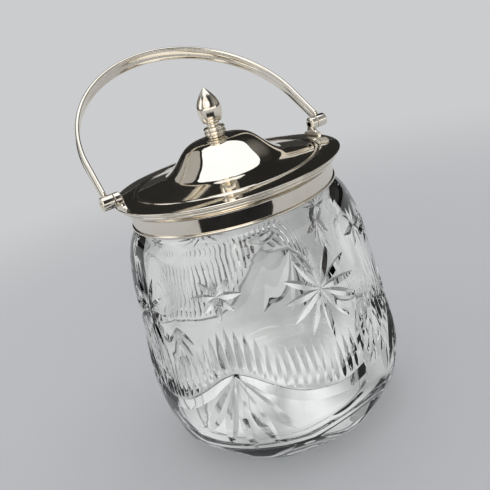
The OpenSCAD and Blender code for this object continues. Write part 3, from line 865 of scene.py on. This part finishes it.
def lug_post():
    """Post with a flared foot on each side, seen along X, given thickness with round edges."""
    foot = POST_Y + FLARE
    side = [(foot, 144.3), (foot, 145.5)] + arc(foot, 149.55, FLARE, FLARE, -90, -180, 12)
    side += [(POST_Y, PIVOT_Z), (POST_Y, PIVOT_Z + 1)]
    outline = side + [(-y, z) for y, z in reversed(side)]
    slices = ((57.6, 0.3), (57.7, 0.1), (57.9, 0.0), (59.3, 0.0), (59.5, 0.1), (59.6, 0.3))
    verts = [(x, y * (1 - inset / 3.0), z - inset * (0.35 if z > 146 else 0))
             for x, inset in slices for y, z in outline]
    return verts, tube(len(slices), len(outline))


# ---------------------------------------------------------------- studio, in metres

PALE = (0.60, 0.605, 0.615)
WORLD_LIGHT = 1.05                  # what the world gives to matt surfaces, next to what is seen of it
LEFT = (-0.893, 0.449, 0)           # to the left of the photo's view
FRONT = (-0.569, -0.589, 0.574)     # up and to the left of the camera
MID_Z = 0.15                        # height of the middle of the canopy and the surround
CANOPY_R, STRIP_R, SURROUND_R = 1.7, 1.68, 1.6
CLOTH_IN, CLOTH_OUT = 0.255, 0.78
PANEL_Z = 0.80
LAMP_AIM = (0, 0, 0.12)


def stage_object(name, verts, faces, material):
    obj = add_object(name, np.array(verts) * 1000, faces, None)
    obj.data.materials.append(material)
    return obj


def mirrored_only(obj):
    """Leaves the piece of the studio to the polished metal alone."""
    obj.visible_camera = obj.visible_diffuse = obj.visible_shadow = obj.visible_transmission = False


def sheet(name, ways, edges, material):
    """A piece of the studio along the azimuths, from one edge (radius, height) to the other."""
    rows = [to_xyz(ways, np.full_like(ways, z), r) for r, z in edges]
    return stage_object(name, np.concatenate(rows), skin(2, len(ways), False), material)


def floor_material():
    """Pale matt floor that keeps the shadow near the jar and fades to an even pale ground far off."""
    m = Nodes("studio_floor")
    m.set(Base_Color=(*PALE, 1), Roughness=0.9, Specular_IOR_Level=0.1)
    far = m.add("ShaderNodeEmission", Color=(*PALE, 1), Strength=1.0)
    away = m.span(m.vector("LENGTH", m.place, out="Value"), 0.22, 0.75, kind="SMOOTHSTEP")
    rays = m.rays()
    seen = m.math("MAXIMUM", rays["Is Camera Ray"], rays["Is Glossy Ray"])
    seen = m.math("MAXIMUM", seen, rays["Is Transmission Ray"])
    m.blend(m.math("MULTIPLY", away, seen), m.shader.outputs["BSDF"], far.outputs["Emission"])
    return m.material


def cloth_material():
    m = Nodes("studio_dark_cloth")
    m.set(Base_Color=m.ramp(m.noise(6, 2), (0.3, (0.018, 0.018, 0.020)), (0.7, (0.035, 0.034, 0.033))),
          Roughness=1.0, Specular_IOR_Level=0.0)
    return m.material


def unsampled(material):
    """Has no lamp sampling spent on a material that glows."""
    material.cycles.emission_sampling = "NONE"
    return material


def canopy_material():
    """Dark overhead, grey to both sides of the view, and bright beside the camera."""
    m = Nodes("studio_canopy")
    way = m.vector("NORMALIZE", m.vector("SUBTRACT", m.place, (0, 0, MID_Z)))
    side = m.math("ABSOLUTE", m.vector("DOT_PRODUCT", way, LEFT, "Value"))
    soft = m.noise(1.6, 1)
    front = m.span(m.vector("DOT_PRODUCT", way, FRONT, "Value"), 0.82, 0.88, 0.0, 1.1)
    tone = m.math("MAXIMUM", m.span(side, 0.55, 0.90, 0.025, 0.34), front)
    return unsampled(m.glow((1.0, 0.97, 0.92), m.math("MULTIPLY", tone, m.span(soft, 0.3, 0.7, 0.8, 1.2))))


def surround_material():
    """What is seen through the glass alone: pale ground, a dark band above it and light overhead."""
    m = Nodes("studio_surround")
    way = m.vector("NORMALIZE", m.vector("SUBTRACT", m.place, (0, 0, 0.10)))
    split = m.tree.nodes.new("ShaderNodeSeparateXYZ")
    m.link(way, split.inputs["Vector"])
    turn = m.math("ARCTAN2", split.outputs["Y"], split.outputs["X"])
    wave = m.math("SINE", m.math("MULTIPLY", m.math("ADD", turn, -math.radians(63.3)), 4.0))
    stops = ((-0.95, 0.72), (-0.6, 0.50), (-0.14, 0.54), (-0.07, 0.22), (0.38, 0.22), (0.55, 0.80), (1.0, 0.90))
    tone = m.ramp(m.span(split.outputs["Z"], -1, 1), *((z / 2 + 0.5, (t, t, t)) for z, t in stops))
    return unsampled(m.glow((0.99, 0.995, 1.0), m.math("MULTIPLY", tone, m.span(wave, -1, 1, 0.70, 1.30))))


def panel(name, outline, level, colour):
    """A soft light overhead, cut to an outline (x, y) in centimetres."""
    obj = stage_object("studio_" + name, [(x / 100, y / 100, PANEL_Z) for x, y in outline],
                       [list(range(len(outline)))], Nodes("studio_" + name).glow(colour, level))
    obj.visible_camera = obj.visible_shadow = False


def area(name, place, size, level, colour):
    """An area light that shows at the given level in a mirror."""
    light = bpy.data.lights.new(name, "AREA")
    light.shape = "RECTANGLE"
    light.size, light.size_y = size
    light.energy = level * math.pi * size[0] * size[1]
    light.color = colour
    obj = link_object(name, light)
    obj.location = place
    obj.rotation_euler = (Vector(LAMP_AIM) - Vector(place)).to_track_quat("-Z", "Y").to_euler()
    obj.visible_camera = False


def make_world():
    """A pale world, at strength 1 for all that sees it and at WORLD_LIGHT for matt surfaces."""
    world = bpy.data.worlds.new("studio")
    bpy.context.scene.world = world
    world.use_nodes = True
    tree = world.node_tree
    background = tree.nodes["Background"]
    background.inputs["Color"].default_value = (*PALE, 1)
    path = tree.nodes.new("ShaderNodeLightPath")
    level = tree.nodes.new("ShaderNodeMapRange")
    level.inputs["To Min"].default_value, level.inputs["To Max"].default_value = 1.0, WORLD_LIGHT
    tree.links.new(path.outputs["Is Diffuse Ray"], level.inputs["Value"])
    tree.links.new(level.outputs["Result"], background.inputs["Strength"])


def make_studio():
    bpy.context.scene.view_settings.view_transform = "Standard"
    make_world()
    ground = stage_object("studio_floor", *lathe([(30, 0), (0, 0)], False, 128), floor_material())
    ground.visible_transmission = False
    table = [(r, -0.0006) for r in (0, 0.1, 0.3, SURROUND_R)]
    round_it = [(SURROUND_R * math.cos(a), MID_Z + SURROUND_R * math.sin(a))
                for a in np.radians((5, 15, 25, 35, 50, 65, 80))]
    surround = stage_object("studio_surround", *lathe(table + round_it + [(0, MID_Z + SURROUND_R)], False, 96),
                            surround_material())
    for kind in ("camera", "diffuse", "glossy", "shadow", "volume_scatter"):
        setattr(surround, "visible_" + kind, False)

    # Canopy overhead: the polished metal mirrors it, and the camera looks in below it.
    dome = [(CANOPY_R * math.cos(el), MID_Z + CANOPY_R * math.sin(el))
            for el in np.radians((9, 16, 26, 38, 52, 66, 80))]
    mirrored_only(stage_object("studio_canopy", *lathe(dome + [(0, MID_Z + CANOPY_R)], False, 96),
                               canopy_material()))

    # Dark cloth on the table under the camera, with its right end rounded
    ways = np.radians(np.linspace(-157, -80, 24))
    end = 1 + 0.35 * np.clip((ways + math.radians(90)) / 0.17, 0, 1) ** 2
    mirrored_only(sheet("studio_cloth", ways, ((CLOTH_IN * end, 0.002), (CLOTH_OUT, 0.002)), cloth_material()))

    # Between the table and the canopy: bright in front, dark behind
    edges = [(STRIP_R, MID_Z + STRIP_R * math.tan(el)) for el in np.radians((0.5, 8.9))]
    for name, start, stop, low, high in (("strip", -175, -45, 1.2, 1.6), ("backdrop", -45, 185, 0.03, 0.06)):
        m = Nodes("studio_" + name)
        light = unsampled(m.glow((1.0, 0.98, 0.94), m.span(m.noise(2, 1), 0, 1, low, high)))
        mirrored_only(sheet("studio_" + name, np.radians(np.linspace(start, stop, 60)), edges, light))

    panel("softbox", [(-43, 8), (-39, 13), (-29, 23.5), (-19, 31), (-13, 38.5), (-6, 43), (0, 46.5), (7, 46),
                      (15, 50), (25, 60), (30, 59), (34, 51), (37.5, 31), (42, 20.5), (49, 11.5), (57, 4.5),
                      (64, -6), (66, -13), (50, -26), (16, -31), (-15, -27), (-35, -12)], 1.25,
          (0.97, 1.0, 1.05))
    panel("card", [(-50, 23), (-41, 20.5), (-30, 31), (-20, 38.5), (-14, 46), (-10, 52), (-9, 70), (-12, 110),
                   (-17, 140), (-50, 140)], 0.42, (1.0, 0.98, 0.95))
    area("side_panel", (-0.75, 0.35, 0.55), (0.45, 0.6), 1.0, (0.97, 0.98, 1.0))
    area("front_fill", (-0.42, -0.78, 0.80), (0.5, 0.36), 1.5, (1.0, 0.99, 0.97))


# ---------------------------------------------------------------- put together

make_camera()

# Name, grain, least and most roughness, and depth of the dents
silver = silver_material("silver_collar", 0, 0.04, 0.075)
silver_lid = silver_material("silver_lid", 5, 0.03, 0.06)
silver_small = silver_material("silver_small", 3, 0.10, 0.15, 0.04)
silver_bail = silver_material("silver_bail", 9, 0.08, 0.12, 0.03)
glass, glass_cut = glass_material("glass_clear", 0.0, 0.02, 0.18), glass_material("glass_cut", 0.04, 0.09, 0.05)
plaster, nickel = plaster_material(), nickel_material()

glass_cut_body = glass_piece()
dress(glass_cut_body, "jar", glass, "glass_body")
glass_cut_body.data.materials.append(glass_cut)
for name, outline in collar_pieces().items():
    dress(add_object(name + "_turned", *lathe(outline)), "jar", silver, name)

wire = rounded([(FLANGE_R, SEAT_Z, 0.1), (49.25, SEAT_Z, 0.2), (49.25, DOME_Z, 0.9),
                (FLANGE_R, DOME_Z, 0.9)], 8)
for name, turned, material in (("lid_dome", lathe(dome_profile(), False), silver_lid),
                               ("lid_wire", lathe(wire), silver_lid),
                               ("finial_knop", lathe(finial_knop(), False, 96), silver_small),
                               ("finial_bud", lathe(finial_bud(), False, 96), silver_small)):
    dress(add_object(name + "_turned", *turned), "lid", material, name)

dress(add_object("bail_strip", *bail_piece(), smooth_angle=50), "bail", silver_bail, "bail_handle")
for side, turn in (("right", lambda part: part), ("left", mirrored)):
    knuckle = turn(barrel(61.9, 68.0, 0.25, 0.6, KNUCKLE_BORE))
    dress(add_object("bail_knuckle_%s_turned" % side, *knuckle), "bail", silver_small,
          "bail_knuckle_" + side)
    lug = turn(merged(lug_post(), barrel(57.6, 61.6, 1.1, 0.25)))
    dress(add_object("hinge_lug_%s_formed" % side, *lug), "jar", silver_small, "hinge_lug_" + side)

# Nodes that show as they are and only get a material
for material, nodes in ((plaster, ("plaster_bedding",)), (silver_lid, ("lid_skirt",)),
                        (nickel, ("hinge_pin_left", "hinge_pin_right", "finial_stud", "finial_washer",
                                  "finial_nut"))):
    for node in nodes:
        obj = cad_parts[node]
        obj.data.materials.clear()
        obj.data.materials.append(material)

make_studio()
